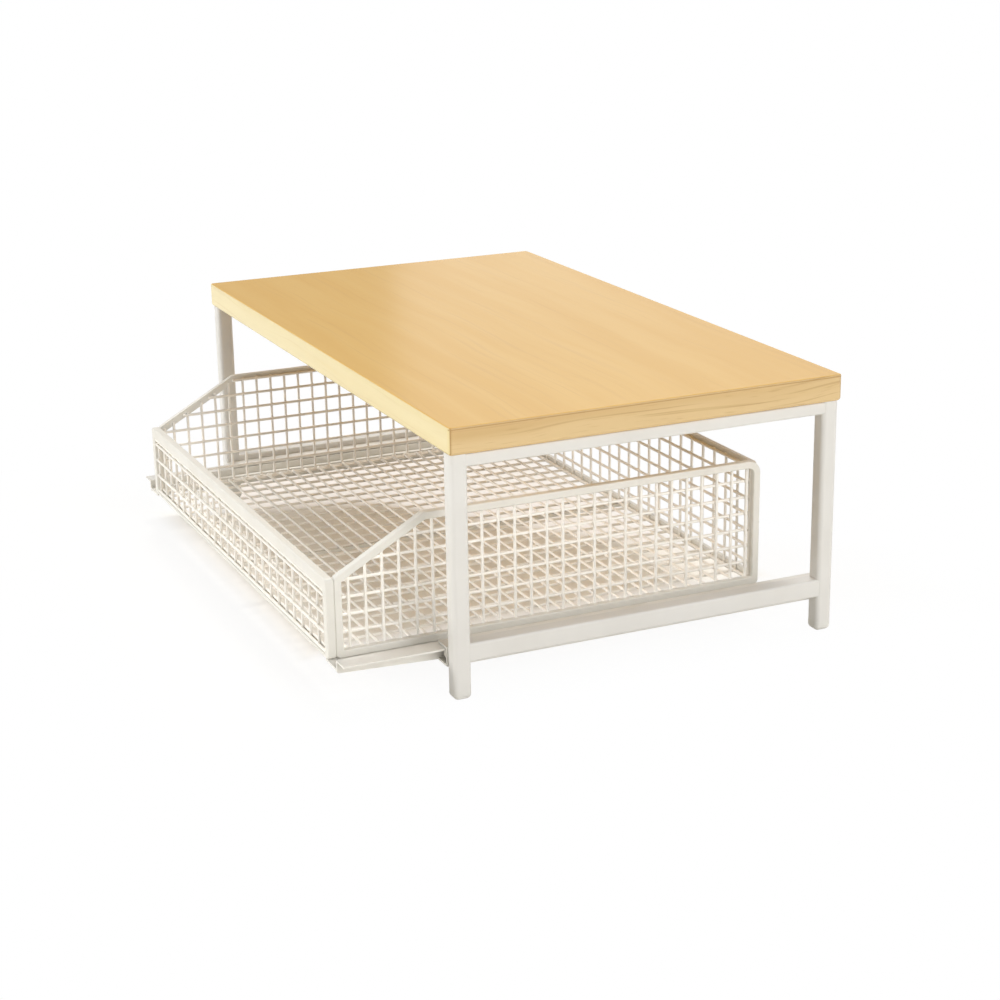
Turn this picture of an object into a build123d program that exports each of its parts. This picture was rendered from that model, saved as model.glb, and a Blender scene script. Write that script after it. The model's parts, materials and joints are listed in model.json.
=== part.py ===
"""Countertop drawer organizer: a wooden board on two welded tube frames, with a wire drawer on roller runners.

Millimetres. +Z is up, +Y points to the back and +X to the right of someone who faces the drawer.
The origin lies on the surface the feet stand on, below the middle of the whole object with the drawer
pulled out as far as the photograph shows it.
"""

import os
from math import hypot

from build123d import *

os.makedirs("parts", exist_ok=True)

# Board
board_width = 420.0
board_depth = 245.0
board_thickness = 15.5
board_corner_radius = 2.5
board_top_arris = 0.8
board_bottom_arris = 2.0

# Legs and rails of the stand
stand_height = 140.5
tube_size = 10.5
tube_corner_radius = 2.8
tube_wall = 1.2
side_overhang = 1.5
end_overhang = 1.0
top_rail_height = 7.5
lower_rail_height = 11.0
lower_rail_base = 21.5
rail_inset = 0.4
rail_edge_radius = 1.5
rail_cope = 2.0

# Feet
foot_height = 6.0
foot_edge_radius = 3.0
foot_plug_height = 8.0
plug_clearance = 0.15

# Runners: fixed channel, drawer runner, rollers and axles
runner_sheet = 1.2
track_sheet = 1.0
channel_depth = 12.0
channel_drop = 4.5
runner_side_gap = 0.5
running_gap = 0.3
roller_diameter = 7.2
roller_width = 6.0
roller_rim_width = 1.0
roller_dish_depth = 0.5
axle_radius = 1.5
axle_clearance = 0.05
axle_head_radius = 2.4
axle_head_thickness = 0.8
front_roller_setback = 5.0
rear_roller_inset = 0.8
stop_height = 2.0
stop_length = 3.0
ledge_below_track = 5.0
ledge_reach = 12.3
skirt_depth = 5.0
skirt_tip_depth = 2.5
skirt_taper_length = 62.0
skirt_tip_radius = 2.0

# Drawer: size, travel and bars
drawer_length = 274.0
drawer_proud = 30.0
shown_opening = 28.5
full_travel = 170.0
side_height = 77.0
front_height = 47.0
slope_run = 53.5
rim_face = 4.5
rim_thickness = 4.0
rim_edge_radius = 0.8
rim_front_radius = 2.5
rim_slope_radius = 9.0
rim_rear_radius = 8.0
front_thickness = 5.0
front_top_face = 7.0
front_corner_radius = 2.5
back_thickness = 3.0
back_drop = 2.0
back_base_face = 6.0

# Mesh
wire = 1.8
side_pitch = 10.2
row_pitch = 10.6
cross_pitch = 14.1
floor_pitch = 9.5
edge_gap = 3.2
side_front_gap = 6.4
front_mesh_setback = 1.0
floor_lift = 2.0
centre_bar_width = 6.0

# Fasteners
board_screws_per_side = 3
board_screw_radius = 1.8
board_screw_head_radius = 3.0
screw_access_clearance = 0.4
board_screw_head_height = 1.8
board_screw_bite = 10.0
board_screw_end_share = 0.12
runner_screws_per_side = 3
runner_screw_radius = 1.0
runner_screw_head_radius = 1.7
runner_screw_head_height = 0.8
runner_screw_bite = 6.0
runner_screw_end_share = 0.15
rivets_per_side = 3
rivet_radius = 1.1
rivet_head_radius = 2.0
rivet_head_height = 1.0
rivet_bite = 3.0
rivet_end_share = 0.1

# Every cut runs past the faces that it opens by this much
overrun = 1.0

# Places across the width, on the right-hand side
leg_outer_x = board_width / 2 - side_overhang
leg_inner_x = leg_outer_x - tube_size
leg_centre_x = leg_outer_x - tube_size / 2
rail_width = tube_size - rail_inset
rear_rail_width = tube_size - 2 * rail_cope
rail_centre_x = leg_inner_x + rail_width / 2
channel_web_x = leg_inner_x - runner_sheet
channel_lip_x = leg_inner_x - channel_depth
web_outer_x = channel_lip_x - runner_side_gap
web_inner_x = web_outer_x - runner_sheet
side_outer_x = web_inner_x - ledge_reach
side_inner_x = side_outer_x - rim_thickness
mesh_inner_x = side_inner_x - wire
front_post_face = side_outer_x - mesh_inner_x

# Places from front to back
front_reach = drawer_proud + shown_opening
overall_depth = board_depth + front_reach
board_back_y = overall_depth / 2
board_front_y = board_back_y - board_depth
leg_front_y = board_front_y + end_overhang
leg_back_y = board_back_y - end_overhang
rail_length = leg_back_y - leg_front_y - 2 * tube_size
drawer_front_y = -overall_depth / 2
drawer_back_y = drawer_front_y + drawer_length
side_front_y = drawer_front_y + front_thickness
back_inner_y = drawer_back_y - back_thickness
front_mesh_y = drawer_front_y + front_mesh_setback
back_mesh_y = back_inner_y - wire
leg_rows = {"front": leg_front_y + tube_size / 2, "rear": leg_back_y - tube_size / 2}

# Heights
roller_radius = roller_diameter / 2
channel_base_z = lower_rail_base - channel_drop
roller_z = channel_base_z + runner_sheet + running_gap + roller_radius
track_base_z = roller_z + roller_radius + running_gap
track_top_z = track_base_z + track_sheet
channel_top_z = track_top_z + running_gap + runner_sheet
drawer_base_z = track_top_z - ledge_below_track
skirt_base_z = drawer_base_z - skirt_depth
skirt_tip_z = drawer_base_z - skirt_tip_depth
side_top_z = drawer_base_z + side_height
front_top_z = drawer_base_z + front_height
floor_base_z = drawer_base_z + floor_lift
back_top_z = side_top_z - back_drop
side_mesh_top_z = side_top_z - rim_face / 2

# Places of the rollers and the stops along the runners
front_roller_y = leg_front_y + front_roller_setback
rear_roller_y = leg_back_y - runner_sheet - running_gap - roller_radius - shown_opening
outer_stop_y = rear_roller_y + shown_opening - full_travel - roller_radius - running_gap
runner_back_y = rear_roller_y + roller_radius

SIDES = {"left": -1, "right": 1}


def save(node, shape):
    """Write one node of the object to its own file."""
    export_step(shape, f"parts/{node}.step")
    return shape


def block(x_span, y_span, z_span):
    """A box between two places along each axis, given in either order."""
    spans = [sorted(span) for span in (x_span, y_span, z_span)]
    size = [high - low for low, high in spans]
    return Pos(*[low for low, high in spans]) * Box(*size, align=(Align.MIN, Align.MIN, Align.MIN))


def rod(radius, start, direction, length):
    """A round rod from a start point along a direction."""
    plane = Plane(origin=start, z_dir=direction)
    return plane * Cylinder(radius, length, align=(Align.CENTER, Align.CENTER, Align.MIN))


def tube(width, height, corner_radius, wall, length):
    """A hollow tube that stands on its end, with rounded outer and inner corners."""
    outer = RectangleRounded(width, height, corner_radius)
    inner = RectangleRounded(width - 2 * wall, height - 2 * wall, max(corner_radius - wall, wall / 2))
    return extrude(outer - inner, amount=length)


def spread(count, low, high, end_share):
    """Even places between two ends, set in from each by a share of the length."""
    inset = (high - low) * end_share
    step = (high - low - 2 * inset) / max(count - 1, 1)
    return [low + inset + index * step for index in range(count)]


def headed_pin(radius, length, head_radius, head_height, seat, direction):
    """A screw, rivet or stub axle: its head lies before the seat and its shank goes on past it."""
    shank = rod(radius, seat, direction, length)
    back = Vector(*direction) * -1
    return shank + rod(head_radius, seat, tuple(back), head_height)


def net_face(outline, gaps):
    """One flat face with a hole for each gap of the mesh."""
    return Face(Wire.make_polygon(outline), [Wire.make_polygon(gap) for gap in gaps])


def wire_lines(low, high, pitch, low_gap=0, high_gap=0):
    """The middles of the wires between two edges, evenly spaced at about one pitch.

    With a gap, a single wire runs along that edge and the even ones start that much further in.
    """
    first = low + wire / 2 + low_gap
    last = high - wire / 2 - high_gap
    count = max(round((last - first) / pitch), 1)
    lines = [first + index * (last - first) / count for index in range(count + 1)]
    if low_gap > 0:
        lines.insert(0, low + wire / 2)
    if high_gap > 0:
        lines.append(high - wire / 2)
    return lines


def mirrored_lines(high, pitch):
    """The middles of the wires across the whole width, with one wire in the middle."""
    half = wire_lines(-wire / 2, high, pitch)
    return [-place for place in half[:0:-1]] + half


def grid_gaps(columns, rows):
    """The gaps of a mesh, between the middles of its upright wires and of its level wires."""
    gaps = []
    for left, right in zip(columns, columns[1:]):
        for bottom, top in zip(rows, rows[1:]):
            low = (left + wire / 2, bottom + wire / 2)
            high = (right - wire / 2, top - wire / 2)
            gaps.append([low, (high[0], low[1]), high, (low[0], high[1])])
    return gaps


def clip_below(points, start, end):
    """The part of a polygon that lies below the line from start to end."""
    def height(point):
        return (end[0] - start[0]) * (point[1] - start[1]) - (end[1] - start[1]) * (point[0] - start[0])

    kept = []
    for point, following in zip(points, points[1:] + points[:1]):
        here, there = height(point), height(following)
        if here <= 0:
            kept.append(point)
        if here * there < 0:
            part = here / (here - there)
            kept.append(tuple(a + part * (b - a) for a, b in zip(point, following)))
    return kept


def area(points):
    """The area of a flat polygon."""
    pairs = zip(points, points[1:] + points[:1])
    return abs(sum(a[0] * b[1] - b[0] * a[1] for a, b in pairs)) / 2


def make_board():
    """The wooden top, with eased edges and pilot holes for its screws."""
    board = block((-board_width / 2, board_width / 2), (board_front_y, board_back_y),
                  (stand_height, stand_height + board_thickness))
    board = fillet(board.edges().filter_by(Axis.Z), board_corner_radius)
    board = fillet(board.faces().sort_by(Axis.Z)[-1].edges(), board_top_arris)
    board = fillet(board.faces().sort_by(Axis.Z)[0].edges(), board_bottom_arris)
    for x, y in board_screw_places():
        board -= rod(board_screw_radius, (x, y, stand_height - overrun), (0, 0, 1),
                     board_screw_bite + overrun)
    return board


def board_screw_places():
    """Where the screws go up through the two side rails."""
    low = leg_front_y + tube_size
    high = low + rail_length
    places = []
    for sign in SIDES.values():
        for y in spread(board_screws_per_side, low, high, board_screw_end_share):
            places.append((sign * rail_centre_x, y))
    return places


def make_leg(x, y):
    """One leg: a square tube from its foot up to the board."""
    leg = tube(tube_size, tube_size, tube_corner_radius, tube_wall, stand_height - foot_height)
    return Pos(x, y, foot_height) * leg


def make_foot(x, y):
    """The rounded plastic end of a leg, with the plug that holds it in the tube."""
    pad = extrude(RectangleRounded(tube_size, tube_size, tube_corner_radius), amount=foot_height)
    pad = fillet(pad.faces().sort_by(Axis.Z)[0].edges(), min(foot_edge_radius, foot_height / 2))
    plug_size = tube_size - 2 * tube_wall - 2 * plug_clearance
    plug_radius = max(tube_corner_radius - tube_wall, tube_wall / 2)
    plug = extrude(RectangleRounded(plug_size, plug_size, plug_radius), amount=foot_plug_height)
    return Pos(x, y, 0) * (pad + Pos(0, 0, foot_height) * plug)


def leg_bar(x, y):
    """The outside of a leg as a full bar, which shapes the ends of the rails that meet it."""
    outside = RectangleRounded(tube_size, tube_size, tube_corner_radius)
    return Pos(x, y, 0) * extrude(outside, amount=stand_height)


def side_rail(sign, height, base_z):
    """A hollow rail along one side, with its ends shaped to the front and the back leg."""
    rail = tube(rail_width, height, rail_edge_radius, tube_wall, rail_length + 2 * rail_cope)
    plane = Plane(origin=(sign * rail_centre_x, leg_front_y + tube_size - rail_cope, base_z + height / 2),
                  x_dir=(-1, 0, 0), z_dir=(0, 1, 0))
    rail = plane * rail
    for y in leg_rows.values():
        rail -= leg_bar(sign * leg_centre_x, y)
    return rail


def make_top_rail(sign):
    """The rail under one side of the board; its lower wall is opened so that the screws sit inside it."""
    base_z = stand_height - top_rail_height
    access_radius = board_screw_head_radius + screw_access_clearance
    rail = side_rail(sign, top_rail_height, base_z)
    for x, y in board_screw_places():
        if x * sign > 0:
            rail -= rod(board_screw_radius, (x, y, base_z), (0, 0, 1), top_rail_height + overrun)
            rail -= rod(access_radius, (x, y, base_z - overrun), (0, 0, 1), tube_wall + 2 * overrun)
    return rail


def make_rear_rail():
    """The rail across the back, between the two rear legs and just under the board."""
    rail = tube(top_rail_height, rear_rail_width, rail_edge_radius, tube_wall, 2 * (leg_inner_x + rail_cope))
    plane = Plane(origin=(-leg_inner_x - rail_cope, leg_rows["rear"], stand_height - top_rail_height / 2),
                  x_dir=(0, 0, 1), z_dir=(1, 0, 0))
    rail = plane * rail
    for sign in SIDES.values():
        rail -= leg_bar(sign * leg_centre_x, leg_rows["rear"])
    return rail


def runner_screw_places():
    """Where the fixed channels are screwed to the lower rails: distance along Y, and height."""
    low = leg_front_y + tube_size
    high = low + rail_length
    height = (lower_rail_base + track_base_z) / 2
    return [(y, height) for y in spread(runner_screws_per_side, low, high, runner_screw_end_share)]


def make_lower_rail(sign):
    """The rail that carries one fixed channel, with the holes for its screws."""
    rail = side_rail(sign, lower_rail_height, lower_rail_base)
    for y, z in runner_screw_places():
        rail -= rod(runner_screw_radius, (sign * (leg_inner_x - overrun), y, z), (sign, 0, 0),
                    tube_wall + 2 * overrun)
    return rail


def make_fixed_channel(sign):
    """The channel on the stand: open towards the drawer, closed at the back, with a stop near the front."""
    span_y = (leg_front_y, leg_back_y)
    span_z = (channel_base_z, channel_top_z)
    channel = block((sign * channel_lip_x, sign * leg_inner_x), span_y, span_z)
    channel -= block((sign * (channel_lip_x - overrun), sign * channel_web_x),
                     (leg_front_y - overrun, leg_back_y - runner_sheet),
                     (channel_base_z + runner_sheet, channel_top_z - runner_sheet))
    stop_base_z = channel_base_z + runner_sheet
    channel += block((sign * channel_lip_x, sign * channel_web_x),
                     (outer_stop_y - stop_length, outer_stop_y), (stop_base_z, stop_base_z + stop_height))
    channel -= rod(axle_radius, (sign * (channel_web_x - overrun), front_roller_y, roller_z), (sign, 0, 0),
                   runner_sheet + 2 * overrun)
    for y, z in runner_screw_places():
        channel -= rod(runner_screw_radius, (sign * (channel_web_x - overrun), y, z), (sign, 0, 0),
                       runner_sheet + 2 * overrun)
    return channel


def rivet_places():
    """Where the drawer runner is riveted to the side rim: distances along Y."""
    return spread(rivets_per_side, side_front_y, runner_back_y, rivet_end_share)


def make_drawer_runner(sign):
    """The runner under one side of the drawer: a track that rides in the channel, a skirt and a ledge."""
    front, back = drawer_front_y, runner_back_y
    skirt = Polyline((back, skirt_base_z), (front + skirt_taper_length, skirt_base_z), (front, skirt_tip_z),
                     (front, track_top_z), (back, track_top_z), close=True)
    skirt = make_face(skirt)
    tip = skirt.vertices().sort_by(Axis.X)[:2].sort_by(Axis.Y)[0]
    skirt = fillet(tip, min(skirt_tip_radius, skirt_tip_depth / 2))
    web_start_x = web_inner_x if sign > 0 else -web_outer_x
    runner = extrude(Plane(origin=(web_start_x, 0, 0), x_dir=(0, 1, 0), z_dir=(1, 0, 0)) * skirt,
                     amount=runner_sheet)
    runner += block((sign * web_inner_x, sign * (channel_web_x - runner_side_gap)), (front, back),
                    (track_base_z, track_top_z))
    runner += block((sign * side_inner_x, sign * web_outer_x), (front, back),
                    (drawer_base_z - runner_sheet, drawer_base_z))
    runner -= rod(axle_radius, (sign * (web_inner_x - overrun), rear_roller_y, roller_z), (sign, 0, 0),
                  runner_sheet + 2 * overrun)
    rivet_x = sign * (side_inner_x + side_outer_x) / 2
    for y in rivet_places():
        runner -= rod(rivet_radius, (rivet_x, y, drawer_base_z - runner_sheet - overrun), (0, 0, 1),
                      runner_sheet + 2 * overrun)
    return runner


def make_roller(x_start, direction, y):
    """One nylon roller, dished on both faces, with the bore for its axle."""
    start = (x_start, y, roller_z)
    across = (direction, 0, 0)
    roller = rod(roller_radius, start, across, roller_width)
    dish_radius = roller_radius - roller_rim_width
    hub_radius = axle_radius + roller_rim_width / 2
    far_x = x_start + direction * (roller_width - roller_dish_depth)
    for dish_x in (x_start, far_x):
        dish = rod(dish_radius, (dish_x, y, roller_z), across, roller_dish_depth)
        roller -= dish - rod(hub_radius, (dish_x, y, roller_z), across, roller_dish_depth)
    return roller - rod(axle_radius + axle_clearance, start, across, roller_width)


def make_front_axle(sign):
    """The stub axle in the web of the fixed channel, which carries the front roller."""
    seat_x = channel_web_x - running_gap - roller_width - running_gap
    return headed_pin(axle_radius, leg_inner_x - seat_x, axle_head_radius, axle_head_thickness,
                      (sign * seat_x, front_roller_y, roller_z), (sign, 0, 0))


def make_rear_axle(sign):
    """The stub axle in the web of the drawer runner, which carries the rear roller."""
    seat_x = web_outer_x + rear_roller_inset + roller_width + running_gap
    return headed_pin(axle_radius, seat_x - web_inner_x, axle_head_radius, axle_head_thickness,
                      (sign * seat_x, rear_roller_y, roller_z), (-sign, 0, 0))


def side_outline(inset):
    """The corners of a drawer side in Y and Z, drawn in from its outer edge by an inset."""
    front, back = side_front_y, drawer_back_y
    slope_end = front + slope_run
    rise = side_top_z - front_top_z
    slope_length = hypot(slope_run, rise)
    lean = (slope_length - rise) / slope_run
    crown = (slope_length - slope_run) / rise
    return [
        (front + inset, drawer_base_z + inset),
        (front + inset, front_top_z - inset * lean),
        (slope_end + inset * crown, side_top_z - inset),
        (back - inset, side_top_z - inset),
        (back - inset, drawer_base_z + inset),
    ]


def rounded_outline(inset):
    """The outline of a drawer side with its corners rounded, drawn in by an inset."""
    corners = side_outline(inset)
    radii = [rim_front_radius, rim_front_radius, rim_slope_radius, rim_rear_radius, rim_front_radius]
    face = make_face(Polyline(*corners, close=True))
    for corner, radius in zip(corners, radii):
        vertex = face.vertices().sort_by_distance(Vector(*corner))[0]
        face = fillet(vertex, max(radius - inset, rim_edge_radius))
    return face


def lay_on_side(face, x, thickness):
    """Stand a face drawn in Y and Z upright at a place across the width, and give it a thickness."""
    return extrude(Plane(origin=(x, 0, 0), x_dir=(0, 1, 0), z_dir=(1, 0, 0)) * face, amount=thickness)


def lay_on_front(face, y, thickness):
    """Stand a face drawn in X and Z upright at a place from front to back, and give it a thickness."""
    plane = Plane(origin=(0, y, 0), x_dir=(1, 0, 0), z_dir=(0, -1, 0))
    return extrude(plane * face, amount=-thickness)


def make_side_rim(sign):
    """The bent flat bar round one side of the drawer, with the rivet holes in its lower run."""
    ring = rounded_outline(0) - rounded_outline(rim_face)
    start_x = side_inner_x if sign > 0 else -side_outer_x
    rim = lay_on_side(ring, start_x, rim_thickness)
    outer_edges = rim.faces().sort_by(Axis.X)[-1 if sign > 0 else 0].edges()
    rim = fillet(outer_edges, rim_edge_radius)
    rivet_x = sign * (side_inner_x + side_outer_x) / 2
    for y in rivet_places():
        rim -= rod(rivet_radius, (rivet_x, y, drawer_base_z - overrun), (0, 0, 1), rivet_bite + overrun)
    return rim


def panel_frame(width, low_z, high_z, base_face, top_face, post_face, corner_radius):
    """A flat rectangular frame with rounded outer corners, drawn in X and Z."""
    outer = Pos(0, (low_z + high_z) / 2) * RectangleRounded(width, high_z - low_z, corner_radius)
    inner_low = low_z + base_face
    inner_high = high_z - top_face
    inner = Pos(0, (inner_low + inner_high) / 2) * Rectangle(width - 2 * post_face, inner_high - inner_low)
    return outer - inner


def make_front_rim():
    """The frame of the drawer's front, which covers the front ends of the two sides."""
    face = panel_frame(2 * side_outer_x, drawer_base_z, front_top_z, floor_lift, front_top_face,
                       front_post_face, front_corner_radius)
    rim = lay_on_front(face, drawer_front_y, front_thickness)
    faces = rim.faces().sort_by(Axis.Y)
    return fillet(faces[0].edges() + faces[-1].edges(), rim_edge_radius)


def make_back_rim():
    """The frame of the drawer's back, which fits between the two sides."""
    face = panel_frame(2 * side_inner_x, drawer_base_z, back_top_z, back_base_face, rim_face, rim_face,
                       rim_front_radius)
    rim = lay_on_front(face, back_inner_y, back_thickness)
    return fillet(rim.faces().sort_by(Axis.Y)[-1].edges(), rim_edge_radius)


def make_side_mesh(sign):
    """The mesh welded to the inner face of one side rim, cut off along the sloped bar."""
    inset = rim_face / 2
    corners = side_outline(inset)
    low = (corners[0][0], floor_base_z)
    high = (back_inner_y, side_mesh_top_z)
    outline = [low, (high[0], low[1]), high, corners[2], corners[1]]
    edge = side_outline(inset + wire)
    columns = wire_lines(low[0], high[0], side_pitch, side_front_gap, edge_gap)
    gaps = []
    for gap in grid_gaps(columns, wire_lines(low[1], high[1], row_pitch)):
        clipped = clip_below(gap, edge[1], edge[2])
        if len(clipped) > 2 and area(clipped) > wire * wire:
            gaps.append(clipped)
    start_x = mesh_inner_x if sign > 0 else -side_inner_x
    return lay_on_side(net_face(outline, gaps), start_x, wire)


def flat_net(low, high, columns, rows):
    """A rectangular mesh between two corners."""
    outline = [low, (high[0], low[1]), high, (low[0], high[1])]
    return net_face(outline, grid_gaps(columns, rows))


def upright_net(top_z, y, top_gap):
    """A mesh across the width of the drawer, from the level of its floor up to a height."""
    low = (-mesh_inner_x, floor_base_z)
    high = (mesh_inner_x, top_z)
    columns = mirrored_lines(mesh_inner_x, cross_pitch)
    rows = wire_lines(floor_base_z, top_z, row_pitch, 0, top_gap)
    return lay_on_front(flat_net(low, high, columns, rows), y, wire)


def make_front_mesh():
    """The mesh let into the front frame, with its top wire set apart from the top bar."""
    return upright_net(front_top_z - front_top_face, front_mesh_y, edge_gap)


def make_back_mesh():
    """The mesh welded inside the back frame."""
    return upright_net(back_top_z - rim_face / 2, back_mesh_y, 0)


def make_floor_mesh(sign):
    """One half of the floor mesh, from the middle of the drawer out to the mesh of its side."""
    x_low, x_high = sorted((0, sign * mesh_inner_x))
    low = (x_low, front_mesh_y + wire)
    high = (x_high, back_mesh_y)
    columns = wire_lines(x_low, x_high, cross_pitch)
    rows = wire_lines(low[1], high[1], floor_pitch)
    return extrude(Pos(0, 0, floor_base_z) * flat_net(low, high, columns, rows), amount=wire)


def make_centre_bar():
    """The flat bar under the middle of the floor mesh, from the front frame to the back frame."""
    half = centre_bar_width / 2
    return block((-half, half), (side_front_y, back_inner_y), (drawer_base_z, floor_base_z))


def group(solids):
    """Several separate solids that share one node."""
    return Compound(children=list(solids))


def make_board_screws():
    """The screws that hold the board down, with their heads inside the side rails."""
    seat_z = stand_height - tube_wall
    return [headed_pin(board_screw_radius, tube_wall + board_screw_bite, board_screw_head_radius,
                       board_screw_head_height, (x, y, seat_z), (0, 0, 1)) for x, y in board_screw_places()]


def make_runner_screws():
    """The screws that hold the fixed channels on the lower rails."""
    return [headed_pin(runner_screw_radius, runner_screw_bite, runner_screw_head_radius,
                       runner_screw_head_height, (sign * channel_web_x, y, z), (sign, 0, 0))
            for sign in SIDES.values() for y, z in runner_screw_places()]


def make_rivets():
    """The rivets that hold the drawer runners under the side rims."""
    seat_z = drawer_base_z - runner_sheet
    rivet_x = (side_inner_x + side_outer_x) / 2
    return [headed_pin(rivet_radius, runner_sheet + rivet_bite, rivet_head_radius, rivet_head_height,
                       (sign * rivet_x, y, seat_z), (0, 0, 1))
            for sign in SIDES.values() for y in rivet_places()]


save("top_board", make_board())
save("rear_top_rail", make_rear_rail())
save("board_screws", group(make_board_screws()))
save("runner_screws", group(make_runner_screws()))
save("front_roller_axles", group(make_front_axle(sign) for sign in SIDES.values()))
save("rear_roller_axles", group(make_rear_axle(sign) for sign in SIDES.values()))
save("runner_rivets", group(make_rivets()))
save("front_rim", make_front_rim())
save("back_rim", make_back_rim())
save("front_mesh", make_front_mesh())
save("back_mesh", make_back_mesh())
save("floor_centre_bar", make_centre_bar())

for side, sign in SIDES.items():
    for row, leg_y in leg_rows.items():
        save(f"{row}_{side}_leg", make_leg(sign * leg_centre_x, leg_y))
        save(f"{row}_{side}_foot", make_foot(sign * leg_centre_x, leg_y))
    save(f"{side}_top_rail", make_top_rail(sign))
    save(f"{side}_lower_rail", make_lower_rail(sign))
    save(f"{side}_fixed_runner", make_fixed_channel(sign))
    save(f"{side}_drawer_runner", make_drawer_runner(sign))
    front_roller_x = channel_web_x - running_gap
    rear_roller_x = web_outer_x + rear_roller_inset
    save(f"front_{side}_roller", make_roller(sign * front_roller_x, -sign, front_roller_y))
    save(f"rear_{side}_roller", make_roller(sign * rear_roller_x, sign, rear_roller_y))
    save(f"{side}_side_rim", make_side_rim(sign))
    save(f"{side}_side_mesh", make_side_mesh(sign))
    save(f"{side}_floor_mesh", make_floor_mesh(sign))
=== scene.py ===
# %% [markdown]
# # A countertop drawer organizer
# The real object is a pale wooden board on two white tube frames, with a wire drawer that rolls out from
# under it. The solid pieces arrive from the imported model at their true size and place, so nothing here is
# measured again. This lesson adds what a solid model leaves out: the round wires, the heads of the
# fasteners, the finishes, light and a camera.

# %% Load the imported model
import json
import math
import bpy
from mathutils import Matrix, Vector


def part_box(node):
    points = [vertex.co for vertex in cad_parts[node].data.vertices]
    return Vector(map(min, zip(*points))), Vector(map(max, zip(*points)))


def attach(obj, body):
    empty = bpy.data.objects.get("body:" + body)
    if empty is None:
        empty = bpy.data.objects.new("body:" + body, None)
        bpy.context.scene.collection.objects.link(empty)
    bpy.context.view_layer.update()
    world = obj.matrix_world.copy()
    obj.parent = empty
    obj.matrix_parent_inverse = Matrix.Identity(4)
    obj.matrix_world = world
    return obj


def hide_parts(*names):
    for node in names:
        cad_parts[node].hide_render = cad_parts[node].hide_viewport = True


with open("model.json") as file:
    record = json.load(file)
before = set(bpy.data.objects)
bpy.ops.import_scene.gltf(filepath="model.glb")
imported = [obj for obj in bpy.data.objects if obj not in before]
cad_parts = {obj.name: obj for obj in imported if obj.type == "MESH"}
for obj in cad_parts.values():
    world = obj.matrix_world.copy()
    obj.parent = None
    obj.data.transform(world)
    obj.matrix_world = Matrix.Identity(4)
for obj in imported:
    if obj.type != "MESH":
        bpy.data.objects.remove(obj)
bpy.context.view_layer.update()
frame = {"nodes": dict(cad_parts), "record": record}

from types import SimpleNamespace

import bmesh
import bpy
from mathutils import Matrix, Vector

# %% [markdown]
# ## Camera
# The picture was taken from the right and a little above, close enough for the far end of the board to
# look small. A camera can be aimed with constraints or by hand. Here its place is worked out from three
# angles, a distance and a focal length, which were fitted to the corners of the board, so that the corners
# land where they do in the photo.

# %% Camera
CAMERA_AZIMUTH = math.radians(65.544)
CAMERA_ELEVATION = math.radians(17.789)
CAMERA_ROLL = math.radians(-0.883)
CAMERA_DISTANCE = 1.367
CAMERA_SLIDE = Vector((-0.00126, -0.03699))
FOCAL_PIXELS = 2079.8
PHOTO_PIXELS = 1000
SENSOR_MM = 36

board_low, board_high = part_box("top_board")
board_middle = (board_low + board_high) / 2
aim = Vector((board_middle.x, board_middle.y, 0))

level_right = Vector((math.cos(CAMERA_AZIMUTH), math.sin(CAMERA_AZIMUTH), 0))
back = Vector((math.sin(CAMERA_AZIMUTH) * math.cos(CAMERA_ELEVATION),
               -math.cos(CAMERA_AZIMUTH) * math.cos(CAMERA_ELEVATION),
               math.sin(CAMERA_ELEVATION)))
level_up = back.cross(level_right)
right = level_right * math.cos(CAMERA_ROLL) + level_up * math.sin(CAMERA_ROLL)
up = level_up * math.cos(CAMERA_ROLL) - level_right * math.sin(CAMERA_ROLL)


def add_object(name, data):
    """A new object that holds some data, linked to the scene."""
    made = bpy.data.objects.new(name, data)
    bpy.context.scene.collection.objects.link(made)
    return made


camera_lens = bpy.data.cameras.new("photo_camera")
camera_lens.sensor_width = SENSOR_MM
camera_lens.lens = FOCAL_PIXELS * SENSOR_MM / PHOTO_PIXELS
camera = add_object("photo_camera", camera_lens)
camera_place = aim + back * CAMERA_DISTANCE - right * CAMERA_SLIDE.x - up * CAMERA_SLIDE.y
camera_turn = Matrix((right, up, back)).transposed().to_4x4()
camera.matrix_world = Matrix.Translation(camera_place) @ camera_turn
bpy.context.scene.camera = camera
print("camera at", [round(c, 3) for c in camera_place], "lens", round(camera_lens.lens, 1), "mm")

# %% [markdown]
# ## Nodes in code
# Both the finishes and the repeated shapes below are node trees. Typing them link by link is long, so one
# helper adds a node, chooses its options and fills its inputs, a second does one step of arithmetic, and a
# third opens a group with named sockets.

# %% Helpers for node trees
def add_node(tree, kind, inputs=None, **settings):
    """Add a node, choose its options, then set or link its inputs, each given by name or number."""
    made = tree.nodes.new(kind)
    for name, value in settings.items():
        setattr(made, name, value)
    for key, value in (inputs or {}).items():
        if isinstance(value, bpy.types.NodeSocket):
            tree.links.new(value, made.inputs[key])
        else:
            made.inputs[key].default_value = value
    return made


def calc(tree, operation, *values):
    """One step of arithmetic on sockets or numbers."""
    return add_node(tree, "ShaderNodeMath", dict(enumerate(values)), operation=operation).outputs[0]


def open_group(name, kind, inputs, outputs):
    """A new node group with named sockets, and its input sockets and output node."""
    tree = bpy.data.node_groups.new(name, kind)
    for label, socket in inputs:
        tree.interface.new_socket(label, in_out="INPUT", socket_type=socket)
    for label, socket in outputs:
        tree.interface.new_socket(label, in_out="OUTPUT", socket_type=socket)
    given = tree.nodes.new("NodeGroupInput").outputs
    return tree, given, tree.nodes.new("NodeGroupOutput")


print("helpers: add_node, calc, open_group")

# %% [markdown]
# ## Surround
# The photo has a plain white background. A white world would also light the object from everywhere and wash
# it out, so the world looks white to the camera, dimmer in reflections, and gives the surfaces only a low
# even light.

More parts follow.
